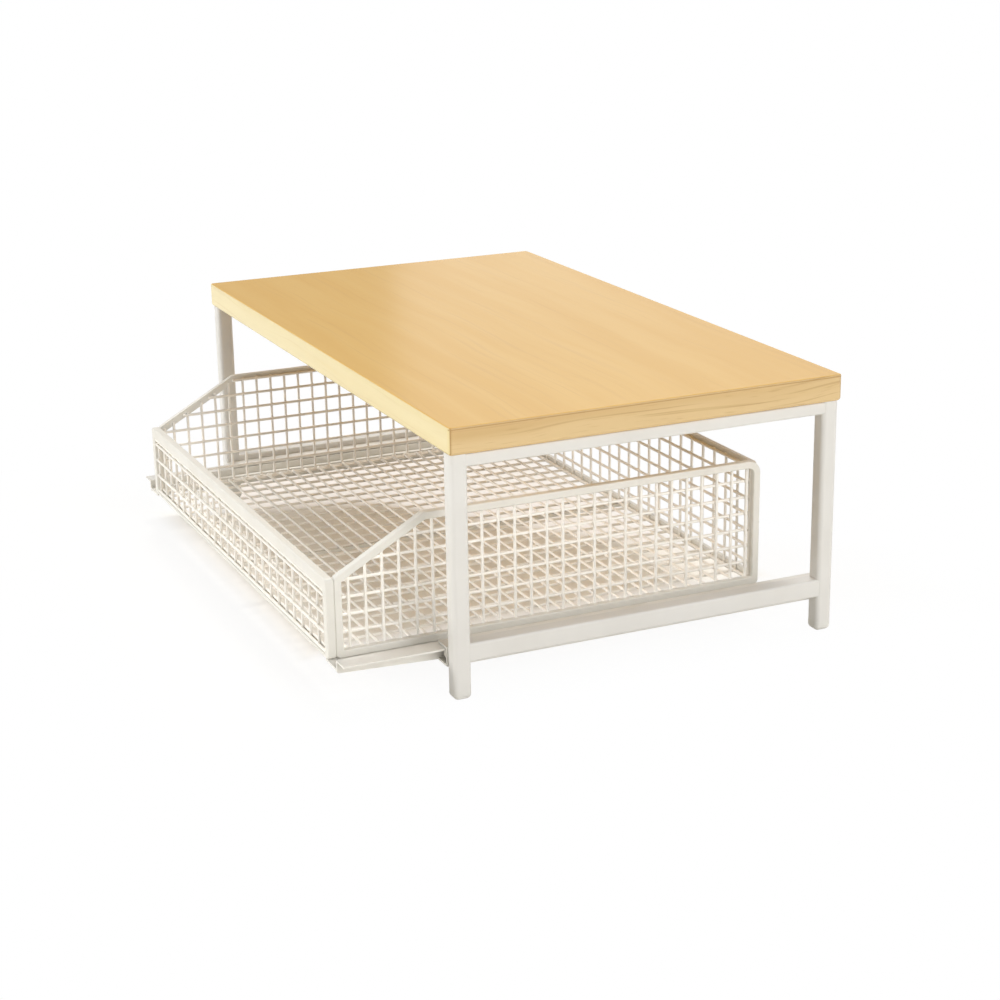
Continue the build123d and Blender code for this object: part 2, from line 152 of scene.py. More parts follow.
# %% White surround
AMBIENT_LEVEL = 0.31
REFLECTED_LEVEL = 0.42
CAMERA_LEVEL = 1.0
WHITE = (1, 1, 1, 1)

world = bpy.data.worlds.new("studio_surround")
bpy.context.scene.world = world
world.use_nodes = True
sky = world.node_tree
sky.nodes.clear()
ray = add_node(sky, "ShaderNodeLightPath").outputs
seen = calc(sky, "MAXIMUM", ray["Is Camera Ray"], ray["Is Transmission Ray"])
level = calc(sky, "MULTIPLY_ADD", seen, CAMERA_LEVEL - AMBIENT_LEVEL, AMBIENT_LEVEL)
level = calc(sky, "MULTIPLY_ADD", ray["Is Glossy Ray"], REFLECTED_LEVEL - AMBIENT_LEVEL, level)
glow = add_node(sky, "ShaderNodeBackground", {"Color": WHITE, "Strength": level})
add_node(sky, "ShaderNodeOutputWorld", {"Surface": glow.outputs[0]})
bpy.context.scene.view_settings.view_transform = "Standard"
print("surround: ambient", AMBIENT_LEVEL, "reflected", REFLECTED_LEVEL)

# %% [markdown]
# ## Lamps
# The board's shadow on the table shows where the main light of the photo stood: high up to the left and a
# little behind the object. The front edges and the wires are bright as well, so two softer, lower lamps fill
# in from the front and the right and reach in under the board. Suns are used, because their light is the
# same all over the object, as from a lamp that stands well away.

# %% Lamps
SUNS = {
    "window_light": {"towards": (-0.45, 0.22, 0.866), "level": 0.42, "spread": 12},
    "front_light": {"towards": (-0.38, -0.84, 0.39), "level": 0.66, "spread": 24},
    "right_light": {"towards": (0.88, 0.18, 0.43), "level": 0.54, "spread": 40},
}


def add_sun(name, towards, level, spread):
    """A sun seen in one direction; level is how bright it makes a white sheet that faces it."""
    lamp = bpy.data.lights.new(name, "SUN")
    lamp.energy = level * math.pi
    lamp.angle = math.radians(spread)
    add_object(name, lamp).rotation_euler = Vector(towards).to_track_quat("Z", "Y").to_euler()
    print("sun", name, "level", level)


for name, sun in SUNS.items():
    add_sun(name, **sun)

# %% [markdown]
# ## Sheen panel
# The board's coat mirrors something bright over its right part, and that sheen ends in a straight edge. In a
# studio a large white panel behind the object does that. Here it is an area lamp that stands upright behind
# the board as the camera sees it, with its left edge a little left of the middle. The camera itself can't
# see it.

# %% Sheen panel
PANEL_WIDTH = 1.5
PANEL_HEIGHT = 1.1
PANEL_DISTANCE = 1.2
PANEL_LEFT = -0.12
PANEL_BASE = 0.05
PANEL_LEVEL = 0.48

panel_light = bpy.data.lights.new("sheen_panel", "AREA")
panel_light.shape = "RECTANGLE"
panel_light.size = PANEL_WIDTH
panel_light.size_y = PANEL_HEIGHT
panel_light.energy = PANEL_LEVEL * math.pi * PANEL_WIDTH * PANEL_HEIGHT
away = Vector((-back.x, -back.y, 0)).normalized()
panel_place = aim + away * PANEL_DISTANCE + level_right * (PANEL_LEFT + PANEL_WIDTH / 2)
panel_place.z = PANEL_BASE + PANEL_HEIGHT / 2
panel = add_object("sheen_panel", panel_light)
panel.matrix_world = Matrix.Translation(panel_place) @ away.to_track_quat("Z", "Y").to_matrix().to_4x4()
panel.visible_camera = False
print("sheen panel", PANEL_WIDTH, "by", PANEL_HEIGHT, "m")

# %% [markdown]
# ## Floor
# The object stands on a pale table. Here that is one flat sheet, a hair below the feet, so that the feet and
# the sheet don't share a plane. It isn't part of the object.

# %% Floor
FLOOR_HALF = 3.0
FLOOR_DROP = 0.0003
CORNER_SIGNS = ((-1, -1), (1, -1), (1, 1), (-1, 1))

floor_mesh = bpy.data.meshes.new("table_floor")
floor_corners = [(FLOOR_HALF * x, FLOOR_HALF * y, -FLOOR_DROP) for x, y in CORNER_SIGNS]
floor_mesh.from_pydata(floor_corners, [], [(0, 1, 2, 3)])
floor = add_object("table_floor", floor_mesh)
print("floor", 2 * FLOOR_HALF, "m square")

# %% [markdown]
# ## Materials in code
# Each finish starts from an empty material. Two steps come back in nearly all of them: carrying a value from
# one span onto another, which turns noise or distance into a share, and blending two colours by that share.

# %% Helpers for materials
def fresh_material(name):
    """A new material and its emptied node tree."""
    made = bpy.data.materials.new(name)
    made.use_nodes = True
    made.node_tree.nodes.clear()
    return made, made.node_tree


def mapped(tree, value, span, onto=(0, 1), shape="SMOOTHSTEP"):
    """Carry a value from one span onto another, with soft ends unless the shape says otherwise."""
    ends = {"Value": value, "From Min": span[0], "From Max": span[1], "To Min": onto[0], "To Max": onto[1]}
    return add_node(tree, "ShaderNodeMapRange", ends, interpolation_type=shape).outputs[0]


def mix_colour(tree, share, first, second):
    """Blend two colours by a share."""
    made = add_node(tree, "ShaderNodeMix", {"Factor": share}, data_type="RGBA")
    for key, value in (("A", first), ("B", second)):
        if isinstance(value, bpy.types.NodeSocket):
            tree.links.new(value, made.inputs[key])
        else:
            made.inputs[key].default_value = value
    return made.outputs["Result"]


print("helpers: fresh_material, mapped, mix_colour")

# %% [markdown]
# ## Floor finish
# The background of the photo is white right up to the object, and the table shows only through the wires:
# dark where the board's shadow lies, a light cream beside it. A plain sheet would be grey all over, so this
# one is matt only within that shadow, which ends along two slanted lines at the left and the back. To the
# camera it glows cream under the rest of the drawer and white further out, with a faint shadow left round
# the feet.

# %% Floor finish
TABLE_MATT = (0.92, 0.89, 0.825, 1)
TABLE_LIT = (0.96, 0.88, 0.80, 1)
# A box is its span along X and its span along Y; a slanted edge is where X is start + slant times Y.
SHADE_BOX = ((-0.25, 0.085), (-0.12, 0.14))
SHADE_EDGES = ((-0.129, 0.27), (-0.1265, 1.33))
SHADE_SOFT = 0.035
SHADE_SHARES = (0.97, 0.12)
FADE_SPAN = (0.02, 0.15)
# Within this box the sheet glows cream: a painted pool of light, where the main lamp falls on the table
# beside the board's shadow.
LIT_BOX = ((-0.285, 0.12), (-0.124, 0.175))
LIT_SOFT = 0.05


def outside_box(tree, x, y, box):
    """How far a point lies outside a box; negative inside it."""
    past = []
    for value, (low, high) in zip((x, y), box):
        from_middle = calc(tree, "ABSOLUTE", calc(tree, "SUBTRACT", value, (low + high) / 2))
        past.append(calc(tree, "SUBTRACT", from_middle, (high - low) / 2))
    return calc(tree, "MAXIMUM", *past)


def make_floor_finish():
    """Matt table in the board's shadow, painted cream light beside it, white for the camera further out."""
    made, tree = fresh_material("table_floor")
    spot = add_node(tree, "ShaderNodeTexCoord").outputs["Object"]
    x, y, _ = add_node(tree, "ShaderNodeSeparateXYZ", {0: spot}).outputs
    outside = outside_box(tree, x, y, SHADE_BOX)
    for start, slant in SHADE_EDGES:
        edge = calc(tree, "MULTIPLY_ADD", y, slant, start)
        outside = calc(tree, "MAXIMUM", outside, calc(tree, "SUBTRACT", edge, x))
    shade = mapped(tree, outside, (0, SHADE_SOFT), SHADE_SHARES)
    shown = calc(tree, "MULTIPLY", shade, mapped(tree, outside, FADE_SPAN, (1, 0)))
    # Painted light: how much of the cream glow, standing for the lit table, shows at each point.
    painted_light_share = mapped(tree, outside_box(tree, x, y, LIT_BOX), (-LIT_SOFT, 0), (1, 0))
    ray = add_node(tree, "ShaderNodeLightPath").outputs
    looked_at = calc(tree, "MAXIMUM", ray["Is Camera Ray"], ray["Is Glossy Ray"])
    looked_at = calc(tree, "MAXIMUM", looked_at, ray["Is Transmission Ray"])
    glowing = calc(tree, "MULTIPLY", looked_at, calc(tree, "SUBTRACT", 1, shown))
    matt = add_node(tree, "ShaderNodeBsdfDiffuse", {"Color": TABLE_MATT})
    bright = add_node(tree, "ShaderNodeEmission", {"Color": mix_colour(tree, painted_light_share, WHITE, TABLE_LIT),
                                                   "Strength": CAMERA_LEVEL})
    mixed = add_node(tree, "ShaderNodeMixShader", {0: glowing, 1: matt.outputs[0], 2: bright.outputs[0]})
    add_node(tree, "ShaderNodeOutputMaterial", {"Surface": mixed.outputs[0]})
    return made


floor_mesh.materials.append(make_floor_finish())
print("floor finish", floor_mesh.materials[0].name)

# %% [markdown]
# ## A sprayed coat, shared by several finishes
# Powder coat melts into a skin like fine orange peel, and its tone wanders a little from place to place.
# Every painted piece here has it, and moulded plastic has something close, so the effect is one shader
# group. It puts out only two values that vary over the surface; the shader itself stays in each material.

# %% Shader group: coat texture
COAT_NOISE = {"Peel": {"Detail": 2.0, "Roughness": 0.45}, "Mottle": {"Detail": 3.0, "Roughness": 0.55}}


def make_coat_group():
    """Fine peel for the bump, and a slow mottle for tone and gloss."""
    tree, given, out = open_group(
        "coat_texture", "ShaderNodeTree", [(label + " Scale", "NodeSocketFloat") for label in COAT_NOISE],
        [(label, "NodeSocketFloat") for label in COAT_NOISE])
    spot = add_node(tree, "ShaderNodeTexCoord").outputs["Object"]
    for label, values in COAT_NOISE.items():
        scale = given[label + " Scale"]
        noise = add_node(tree, "ShaderNodeTexNoise", {"Vector": spot, "Scale": scale, **values})
        tree.links.new(noise.outputs[0], out.inputs[label])
    return tree


coat_group = make_coat_group()
print("group", coat_group.name)

# %% [markdown]
# ## Painted, moulded and plated finishes
# The tubes, the drawer's bars, its wires and the sheet runners are all sprayed in nearly the same warm
# white. The feet and rollers are moulded, the screws plated. They differ only in two tones, roughness, peel
# and metal, so one function makes them all from a table.

# %% Coated finishes
FINISHES = {
    "frame_paint": {"light": (0.73, 0.715, 0.68), "dark": (0.69, 0.67, 0.63), "rough": (0.34, 0.44),
                    "peel_scale": 1500, "mottle_scale": 22, "bump": 0.10, "metal": 0.0},
    "runner_paint": {"light": (0.80, 0.78, 0.73), "dark": (0.73, 0.705, 0.65), "rough": (0.30, 0.42),
                     "peel_scale": 1900, "mottle_scale": 40, "bump": 0.07, "metal": 0.0},
    "drawer_paint": {"light": (0.77, 0.75, 0.695), "dark": (0.725, 0.70, 0.635), "rough": (0.36, 0.48),
                     "peel_scale": 1700, "mottle_scale": 30, "bump": 0.10, "metal": 0.0},
    "mesh_paint": {"light": (0.92, 0.89, 0.835), "dark": (0.88, 0.845, 0.78), "rough": (0.36, 0.50),
                   "peel_scale": 2100, "mottle_scale": 55, "bump": 0.08, "metal": 0.0},
    "foot_plastic": {"light": (0.73, 0.715, 0.675), "dark": (0.69, 0.67, 0.62), "rough": (0.50, 0.60),
                     "peel_scale": 2600, "mottle_scale": 60, "bump": 0.12, "metal": 0.0},
    "roller_nylon": {"light": (0.84, 0.83, 0.79), "dark": (0.78, 0.765, 0.71), "rough": (0.40, 0.52),
                     "peel_scale": 3000, "mottle_scale": 160, "bump": 0.05, "metal": 0.0},
    "screw_steel": {"light": (0.66, 0.66, 0.64), "dark": (0.52, 0.52, 0.50), "rough": (0.24, 0.40),
                    "peel_scale": 3600, "mottle_scale": 260, "bump": 0.06, "metal": 1.0},
}
MOTTLE_SPAN = (0.3, 0.7)
PEEL_HEIGHT = 0.00008


def make_coated(name, light, dark, rough, peel_scale, mottle_scale, bump, metal):
    """A finish of two close tones with a fine peel."""
    made, tree = fresh_material(name)
    coat = add_node(tree, "ShaderNodeGroup", {"Peel Scale": peel_scale, "Mottle Scale": mottle_scale},
                    node_tree=coat_group).outputs
    tone = mapped(tree, coat["Mottle"], MOTTLE_SPAN, shape="LINEAR")
    dents = add_node(tree, "ShaderNodeBump", {"Strength": bump, "Distance": PEEL_HEIGHT,
                                              "Height": coat["Peel"]})
    shader = add_node(tree, "ShaderNodeBsdfPrincipled", {
        "Base Color": mix_colour(tree, tone, (*light, 1), (*dark, 1)),
        "Roughness": mapped(tree, coat["Mottle"], MOTTLE_SPAN, rough, "LINEAR"),
        "Metallic": metal, "Normal": dents.outputs[0]})
    add_node(tree, "ShaderNodeOutputMaterial", {"Surface": shader.outputs[0]})
    return made


finishes = {name: make_coated(name, **values) for name, values in FINISHES.items()}
print("finishes:", ", ".join(finishes))

# %% [markdown]
# ## Wood figure, shared by the board's faces
# The board is faced with pale wood and banded round its edges, and on every face the grain runs along the
# longer side. One group draws the figure for coordinates that already run along the grain, so each face only
# turns its coordinates. It draws slow bands of tone, thin darker lines and short flecks, all from noise
# stretched along the grain, which sways a little on its way.

# %% Shader group: wood figure
SWAY_SCALE = 9.0
SWAY_DETAIL = 1.0
SWAY_REACH = 0.012
GRAIN_NOISE = {
    "Band": {"stretch": (3.0, 45.0, 45.0), "detail": 3.0},
    "Line": {"stretch": (7.0, 420.0, 420.0), "detail": 2.0},
    "Fleck": {"stretch": (60.0, 900.0, 900.0), "detail": 1.0},
}
GRAIN_ROUGHNESS = 0.55


def make_wood_group():
    """Bands, lines and flecks of straight-grained wood; the first coordinate runs along the grain."""
    tree, given, out = open_group("wood_figure", "ShaderNodeTree", [("Vector", "NodeSocketVector")],
                                  [(label, "NodeSocketFloat") for label in GRAIN_NOISE])
    sway = add_node(tree, "ShaderNodeTexNoise", {"Vector": given["Vector"], "Scale": SWAY_SCALE,
                                                 "Detail": SWAY_DETAIL})
    drift = calc(tree, "MULTIPLY_ADD", sway.outputs[0], SWAY_REACH, -SWAY_REACH / 2)
    along, across, deep = add_node(tree, "ShaderNodeSeparateXYZ", {0: given["Vector"]}).outputs
    swayed = calc(tree, "ADD", across, drift)
    bent = add_node(tree, "ShaderNodeCombineXYZ", {0: along, 1: swayed, 2: deep}).outputs[0]
    for label, values in GRAIN_NOISE.items():
        stretched = add_node(tree, "ShaderNodeVectorMath", {0: bent, 1: values["stretch"]},
                             operation="MULTIPLY").outputs[0]
        drawn = add_node(tree, "ShaderNodeTexNoise", {
            "Vector": stretched, "Scale": 1.0, "Detail": values["detail"], "Roughness": GRAIN_ROUGHNESS})
        tree.links.new(drawn.outputs[0], out.inputs[label])
    return tree


wood_group = make_wood_group()
print("group", wood_group.name)

# %% [markdown]
# ## The board's colours
# The top is a golden, quiet veneer; the bands at the two ends show more line, and the front and back bands
# are paler. On the ends a thin glue line runs under the veneer of the top and another behind the front and
# back bands. Both are drawn from the point's own place, so they lie where the real sheets meet.

# %% Colours of the board's faces
FACES = {
    "top": {"light": (0.725, 0.435, 0.098, 1), "deep": (0.69, 0.40, 0.081, 1), "line": 0.12},
    "end": {"light": (0.69, 0.50, 0.25, 1), "deep": (0.61, 0.41, 0.18, 1), "line": 0.55},
    "front": {"light": (0.79, 0.675, 0.375, 1), "deep": (0.755, 0.62, 0.315, 1), "line": 0.10},
}
LINE_DARK = (0.42, 0.24, 0.075, 1)
BAND_SPAN = (0.35, 0.65)
LINE_SPAN = (0.56, 0.72)
FLECK_SPAN = (0.60, 0.75)
GLUE_DEPTH = 0.0011
GLUE_WIDTH = 0.00035
GLUE_SHARE = 0.7
GLUE_BAND_SPAN = (0.30, 0.50)
GLUE_FACE_SPAN = (0.3, 0.5)


def face_colour(tree, grain, light, deep, line):
    """The colour of one face: bands of two tones, with darker lines and flecks."""
    plain = mix_colour(tree, mapped(tree, grain["Band"], BAND_SPAN), light, deep)
    lines = calc(tree, "MULTIPLY", mapped(tree, grain["Line"], LINE_SPAN), line)
    lined = mix_colour(tree, lines, plain, LINE_DARK)
    flecks = calc(tree, "MULTIPLY", mapped(tree, grain["Fleck"], FLECK_SPAN), line / 2)
    return mix_colour(tree, flecks, lined, LINE_DARK)


def glue_lines(tree, y, z, end_facing, end_grain):
    """How dark the glue shows: on the ends, under the top's veneer and behind the front and back bands."""
    under_top = calc(tree, "COMPARE", z, board_high.z - GLUE_DEPTH, GLUE_WIDTH)
    under_top = calc(tree, "MULTIPLY", under_top, mapped(tree, end_grain["Band"], GLUE_BAND_SPAN))
    off_middle = calc(tree, "ABSOLUTE", calc(tree, "SUBTRACT", y, board_middle.y))
    band_place = board_high.y - board_middle.y - GLUE_DEPTH
    behind_band = calc(tree, "COMPARE", off_middle, band_place, GLUE_WIDTH)
    lines = calc(tree, "MULTIPLY", calc(tree, "MAXIMUM", under_top, behind_band),
                 mapped(tree, end_facing, GLUE_FACE_SPAN))
    return calc(tree, "MULTIPLY", lines, GLUE_SHARE)


print("faces:", ", ".join(FACES))

# %% [markdown]
# ## Board wood
# The face that a point lies on is told by its own normal, so one material does the whole board and no UV map
# is needed. For each face the coordinates are put in the order that runs along its grain, and the three
# colours are then blended by how far the surface faces that way.

# %% Board wood
GRAIN_ORDERS = {"top": "XYZ", "end": "YZX", "front": "XZY"}
FACE_SPAN = (0.55, 0.75)
WOOD_SPAN = (0.3, 0.7)
WOOD_ROUGHNESS = (0.20, 0.26)
WOOD_BUMP = 0.05
WOOD_LINE_HEIGHT = 0.0001


def make_board_wood():
    """Veneered board: quiet top, lined ends, pale front and back, thin glue lines."""
    made, tree = fresh_material("board_wood")
    where = add_node(tree, "ShaderNodeTexCoord").outputs
    spot = add_node(tree, "ShaderNodeSeparateXYZ", {0: where["Object"]}).outputs
    normal = add_node(tree, "ShaderNodeSeparateXYZ", {0: where["Normal"]}).outputs
    end_facing = calc(tree, "ABSOLUTE", normal["X"])
    front_facing = calc(tree, "ABSOLUTE", normal["Y"])
    grains, colours = {}, {}
    for face, order in GRAIN_ORDERS.items():
        reordered = {index: spot[axis] for index, axis in enumerate(order)}
        along_grain = add_node(tree, "ShaderNodeCombineXYZ", reordered).outputs[0]
        grains[face] = add_node(tree, "ShaderNodeGroup", {"Vector": along_grain},
                                node_tree=wood_group).outputs
        colours[face] = face_colour(tree, grains[face], **FACES[face])
    colour = mix_colour(tree, mapped(tree, end_facing, FACE_SPAN), colours["top"], colours["end"])
    colour = mix_colour(tree, mapped(tree, front_facing, FACE_SPAN), colour, colours["front"])
    glue = glue_lines(tree, spot["Y"], spot["Z"], end_facing, grains["end"])
    dents = add_node(tree, "ShaderNodeBump", {"Strength": WOOD_BUMP, "Distance": WOOD_LINE_HEIGHT,
                                              "Height": grains["top"]["Line"]})
    shader = add_node(tree, "ShaderNodeBsdfPrincipled", {
        "Base Color": mix_colour(tree, glue, colour, LINE_DARK),
        "Roughness": mapped(tree, grains["top"]["Band"], WOOD_SPAN, WOOD_ROUGHNESS, "LINEAR"),
        "Normal": dents.outputs[0]})
    add_node(tree, "ShaderNodeOutputMaterial", {"Surface": shader.outputs[0]})
    return made


finishes["board_wood"] = make_board_wood()
print("finish board_wood with", len(finishes["board_wood"].node_tree.nodes), "nodes")

# %% [markdown]
# ## Dress the solid pieces
# The record says which finish each solid piece takes, so a loop gives every piece its material. The shapes
# of the board, tubes, bars, sheet runners, rollers and feet are already right and stay as they came.

# %% Dress the solid pieces
for part in frame["record"]["subparts"]:
    skin = frame["nodes"][part["node"]].data
    skin.materials.clear()
    skin.materials.append(finishes[part["material_slot"]])

# %% [markdown]
# ## Wires and their places
# The drawer's walls and floor are round wires laid across each other in two layers and welded where they
# cross. They could be drawn one by one, but the rule is simple: wires of one kind stand evenly apart, and
# some edges have one more wire, a little off the rest. Geometry Nodes follow such a rule. A line of points
# first carries only numbers, and arithmetic turns a number into a place and says whether there is such a
# wire.

# %% Helpers for the panel tree
WIRE_SIDES = 10
ALMOST_SHARE = 0.99


def unit_wire(tree, direction, radius):
    """A round wire of length 1 from the origin."""
    line = add_node(tree, "GeometryNodeCurvePrimitiveLine", {"End": direction})
    ring = add_node(tree, "GeometryNodeCurvePrimitiveCircle", {"Resolution": WIRE_SIDES, "Radius": radius})
    skin = add_node(tree, "GeometryNodeCurveToMesh", {
        "Curve": line.outputs[0], "Profile Curve": ring.outputs[0], "Fill Caps": True})
    return add_node(tree, "GeometryNodeSetShadeSmooth", {0: skin.outputs[0], "Shade Smooth": True}).outputs[0]


def spaced(tree, number, count, length, radius, low_gap, high_gap):
    """The place of a wire from its number, and whether there is such a wire.

    The first and the last number stand for edge wires, which exist only where a gap keeps them off the
    even ones.
    """
    span = calc(tree, "MULTIPLY_ADD", radius, -2, length)
    step = calc(tree, "DIVIDE", calc(tree, "SUBTRACT", span, calc(tree, "ADD", low_gap, high_gap)), count)
    place = calc(tree, "MULTIPLY_ADD", calc(tree, "SUBTRACT", number, 1), step, low_gap)
    almost = calc(tree, "MULTIPLY", step, ALMOST_SHARE)
    exists = calc(tree, "MULTIPLY", calc(tree, "GREATER_THAN", calc(tree, "ADD", place, almost), 0),
                  calc(tree, "LESS_THAN", calc(tree, "SUBTRACT", place, almost), span))
    held = calc(tree, "MINIMUM", calc(tree, "MAXIMUM", place, 0), span)
    return calc(tree, "ADD", held, radius), exists


def numbered(tree, count, direction):
    """A line of points whose place along one direction is only their number."""
    return add_node(tree, "GeometryNodeMeshLine", {"Count": count, "Offset": direction}).outputs[0]


def keep_where(tree, geometry, kept):
    """Drop the points where a share is 0."""
    dropped = calc(tree, "SUBTRACT", 1, kept)
    return add_node(tree, "GeometryNodeDeleteGeometry", {"Geometry": geometry, "Selection": dropped},
                    domain="POINT").outputs[0]


def move_to(tree, geometry, x, y, z):
    """Set the places of points."""
    place = add_node(tree, "ShaderNodeCombineXYZ", {0: x, 1: y, 2: z}).outputs[0]
    return add_node(tree, "GeometryNodeSetPosition", {"Geometry": geometry, "Position": place}).outputs[0]


def finished(tree, parts, finish, out):
    """End a tree: join the parts, make the copies real and give them their finish."""
    joined = tree.nodes.new("GeometryNodeJoinGeometry")
    for instances in parts:
        tree.links.new(instances.outputs[0], joined.inputs[0])
    whole = add_node(tree, "GeometryNodeRealizeInstances", {0: joined.outputs[0]}).outputs[0]
    skinned = add_node(tree, "GeometryNodeSetMaterial", {"Geometry": whole, "Material": finish})
    tree.links.new(skinned.outputs[0], out.inputs[0])


print("helpers: unit_wire, spaced, numbered, keep_where, move_to, finished")

# %% [markdown]
# ## The rule of a panel
# All five panels follow one rule: evenly spaced uprights, evenly spaced cross wires and a weld at each
# crossing, all cut off along a slope on the side walls. The panel is worked out flat, with the width along X
# and the height along Y. First come the numbers that the three share: how many there are, where each number
# stands, and how high the slope is there.

# %% The rule of a panel
EDGE_WIRES = 2


def panel_rule(tree, given):
    """What wires and welds share: how many there are, their places, and the height of the slope."""
    rule = SimpleNamespace()
    spot = add_node(tree, "GeometryNodeInputPosition").outputs[0]
    rule.u, rule.v, _ = add_node(tree, "ShaderNodeSeparateXYZ", {0: spot}).outputs
    rule.half_gap = calc(tree, "DIVIDE", given["Layer Gap"], 2)
    rule.last_column = calc(tree, "ADD", given["Columns"], EDGE_WIRES)
    rule.last_row = calc(tree, "ADD", given["Rows"], EDGE_WIRES)
    rule.upright_count = calc(tree, "ADD", rule.last_column, 1)
    rule.cross_count = calc(tree, "ADD", rule.last_row, 1)
    radius = given["Wire Radius"]
    rule.column, rule.column_exists = spaced(
        tree, rule.u, given["Columns"], given["Width"], radius, given["Left Gap"], given["Right Gap"])
    rule.row, rule.row_exists = spaced(
        tree, rule.v, given["Rows"], given["Height"], radius, 0, given["Top Gap"])
    rule.rise = calc(tree, "SUBTRACT", given["Height"], given["Post Height"])
    steepness = calc(tree, "DIVIDE", rule.rise, given["Slope Run"])
    rule.slope_height = calc(tree, "MULTIPLY_ADD", rule.u, steepness, given["Post Height"])
    return rule


print("helper: panel_rule, with", EDGE_WIRES, "edge wires")

# %% [markdown]
# ## Uprights, cross wires and welds
# An upright is a wire of length 1, scaled to the height of the slope above its foot. A cross wire starts
# where the slope reaches its own height and runs to the far edge. The welds stand on a grid of points, of
# which only the crossings of real wires under the slope are kept.

# %% Uprights, cross wires and welds
WELD_SEGMENTS = 8
WELD_RINGS = 4
WELD_FLATNESS = 0.75


def lay_uprights(tree, given, rule):
    """Wires from the lower edge up to the slope."""
    feet = keep_where(tree, numbered(tree, rule.upright_count, (1, 0, 0)), rule.column_exists)
    feet = move_to(tree, feet, rule.column, 0, calc(tree, "MULTIPLY", rule.half_gap, -1))
    reach = calc(tree, "MINIMUM", rule.slope_height, given["Height"])
    size = add_node(tree, "ShaderNodeCombineXYZ", {0: 1.0, 1: reach, 2: 1.0}).outputs[0]
    wire = unit_wire(tree, (0, 1, 0), given["Wire Radius"])
    return add_node(tree, "GeometryNodeInstanceOnPoints", {"Points": feet, "Instance": wire, "Scale": size})


def lay_crosses(tree, given, rule):
    """Wires from the slope across to the far edge."""
    ends = keep_where(tree, numbered(tree, rule.cross_count, (0, 1, 0)), rule.row_exists)
    over = calc(tree, "DIVIDE", calc(tree, "SUBTRACT", rule.row, given["Post Height"]), rule.rise)
    start = calc(tree, "MULTIPLY", calc(tree, "MAXIMUM", over, 0), given["Slope Run"])
    ends = move_to(tree, ends, start, rule.row, rule.half_gap)
    length = calc(tree, "SUBTRACT", given["Width"], rule.u)
    size = add_node(tree, "ShaderNodeCombineXYZ", {0: length, 1: 1.0, 2: 1.0}).outputs[0]
    wire = unit_wire(tree, (1, 0, 0), given["Wire Radius"])
    return add_node(tree, "GeometryNodeInstanceOnPoints", {"Points": ends, "Instance": wire, "Scale": size})


def set_welds(tree, given, rule):
    """A flattened bead at each crossing under the slope."""
    # A grid lies about the origin, so half its size is added to make its numbers start at 0.
    grid = add_node(tree, "GeometryNodeMeshGrid", {
        "Size X": rule.last_column, "Size Y": rule.last_row,
        "Vertices X": rule.upright_count, "Vertices Y": rule.cross_count})
    points = move_to(tree, grid.outputs["Mesh"], calc(tree, "MULTIPLY_ADD", rule.last_column, 0.5, rule.u),
                     calc(tree, "MULTIPLY_ADD", rule.last_row, 0.5, rule.v), 0)
    points = keep_where(tree, points, calc(tree, "MULTIPLY", rule.column_exists, rule.row_exists))
    points = move_to(tree, points, rule.column, rule.row, 0)
    points = keep_where(tree, points, calc(tree, "LESS_THAN", rule.v, rule.slope_height))
    bead = add_node(tree, "GeometryNodeMeshUVSphere", {"Segments": WELD_SEGMENTS, "Rings": WELD_RINGS,
                                                       "Radius": given["Weld Radius"]})
    bead = add_node(tree, "GeometryNodeSetShadeSmooth", {0: bead.outputs["Mesh"], "Shade Smooth": True})
    return add_node(tree, "GeometryNodeInstanceOnPoints", {
        "Points": points, "Instance": bead.outputs[0], "Scale": (1.0, 1.0, WELD_FLATNESS)})


print("helpers: lay_uprights, lay_crosses, set_welds")

# %% [markdown]
# ## A panel of welded wires
# The tree itself only names the inputs and puts the three together. One tree then makes all five panels,
# each with its own sizes and its own number of wires.

# %% Geometry Nodes tree: welded wire panel
PANEL_SIZES = ("Width", "Height", "Wire Radius", "Layer Gap", "Left Gap", "Right Gap", "Top Gap",
               "Post Height", "Slope Run", "Weld Radius")


def make_panel_tree():
    """Uprights, cross wires and welds of one panel, cut off along a slope."""
    tree, given, out = open_group(
        "welded_wire_panel", "GeometryNodeTree",
        [(label, "NodeSocketFloat") for label in PANEL_SIZES]
        + [("Columns", "NodeSocketInt"), ("Rows", "NodeSocketInt"), ("Finish", "NodeSocketMaterial")],
        [("Geometry", "NodeSocketGeometry")])
    rule = panel_rule(tree, given)
    parts = [make(tree, given, rule) for make in (lay_uprights, lay_crosses, set_welds)]
    finished(tree, parts, given["Finish"], out)
    return tree


panel_tree = make_panel_tree()
print("tree", panel_tree.name, "with", len(panel_tree.nodes), "nodes")

# %% [markdown]
# ## Grow a piece from a tree
# A Geometry Nodes modifier is live, and the export wants plain meshes. So each tree runs on a throwaway
# holder, its inputs set by their identifiers, and the evaluated result is copied to a new object and moved
# to its place there.

# %% Grow a piece
def plain_copy(source):
    """The mesh that an object shows with its modifiers, as a plain one."""
    evaluated = source.evaluated_get(bpy.context.evaluated_depsgraph_get())
    return bpy.data.meshes.new_from_object(evaluated)


def grow(name, tree, values, place=None, points=None):
    """Run a tree once and keep its result as a plain mesh at its place."""
    holder = add_object(name + "_holder", points or bpy.data.meshes.new(name + "_holder"))
    recipe = holder.modifiers.new("recipe", "NODES")
    recipe.node_group = tree
    for item in tree.interface.items_tree:
        if item.in_out == "INPUT" and item.name in values:
            recipe[item.identifier] = values[item.name]
    mesh = plain_copy(holder)
    bpy.data.objects.remove(holder)
    mesh.name = name
    if place is not None:
        mesh.transform(place)
    print("grew", name, "with", len(mesh.polygons), "faces")
    return add_object(name, mesh)


print("helpers: plain_copy, grow")

# %% [markdown]
# ## The drawer's wire walls and floor
# On the sides the uprights lie against the rims and the level wires inside them, on the front and the back
# the level wires face the front, and on the floor the wires across the drawer lie on top. Each panel fills
# the box of the flat sheet that stands for it in the solid model, and replaces it. The slope is read from
# that sheet's own corners.

